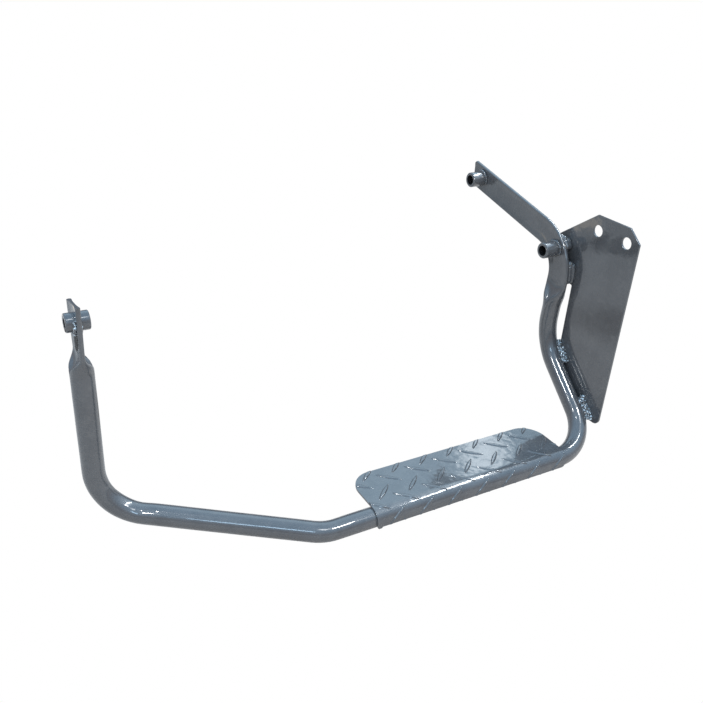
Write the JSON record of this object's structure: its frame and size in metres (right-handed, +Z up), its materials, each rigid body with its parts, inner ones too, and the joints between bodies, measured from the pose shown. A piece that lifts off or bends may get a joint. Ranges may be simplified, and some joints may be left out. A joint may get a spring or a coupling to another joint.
{
  "type": "truck cab step",
  "caption": "Side step: one bent tube with pressed flat ends, a folded checker tread over its front run, a drilled mounting plate and welded bushes.",
  "frame": {"origin": "midway between the two holes of the mounting plate, on the plate's outer face", "axes": "+X along the tread towards the plate and out of its outer face, +Y back under the cab, +Z up"},
  "size_m": [0.7169, 0.3661, 0.3544],
  "materials": {
    "enamel": "gloss enamel over steel",
    "weld_enamel": "gloss enamel over weld beads"
  },
  "bodies": {
    "root": {"step_tube": "enamel", "mounting_plate": "enamel", "tread_plate": "enamel", "blade_bush": "enamel", "arm_bush_kink": "enamel", "arm_bush_tip": "enamel", "blade_weld_outer": "weld_enamel", "blade_weld_inner": "weld_enamel", "arm_weld_kink": "weld_enamel", "arm_weld_tip": "weld_enamel", "lean_weld_upper": "weld_enamel", "lean_weld_lower": "weld_enamel", "ear_weld_upper": "weld_enamel", "ear_weld_lower": "weld_enamel", "tread_weld_left": "weld_enamel", "tread_weld_right": "weld_enamel", "flange_weld_left": "weld_enamel"}
  },
  "joints": []
}
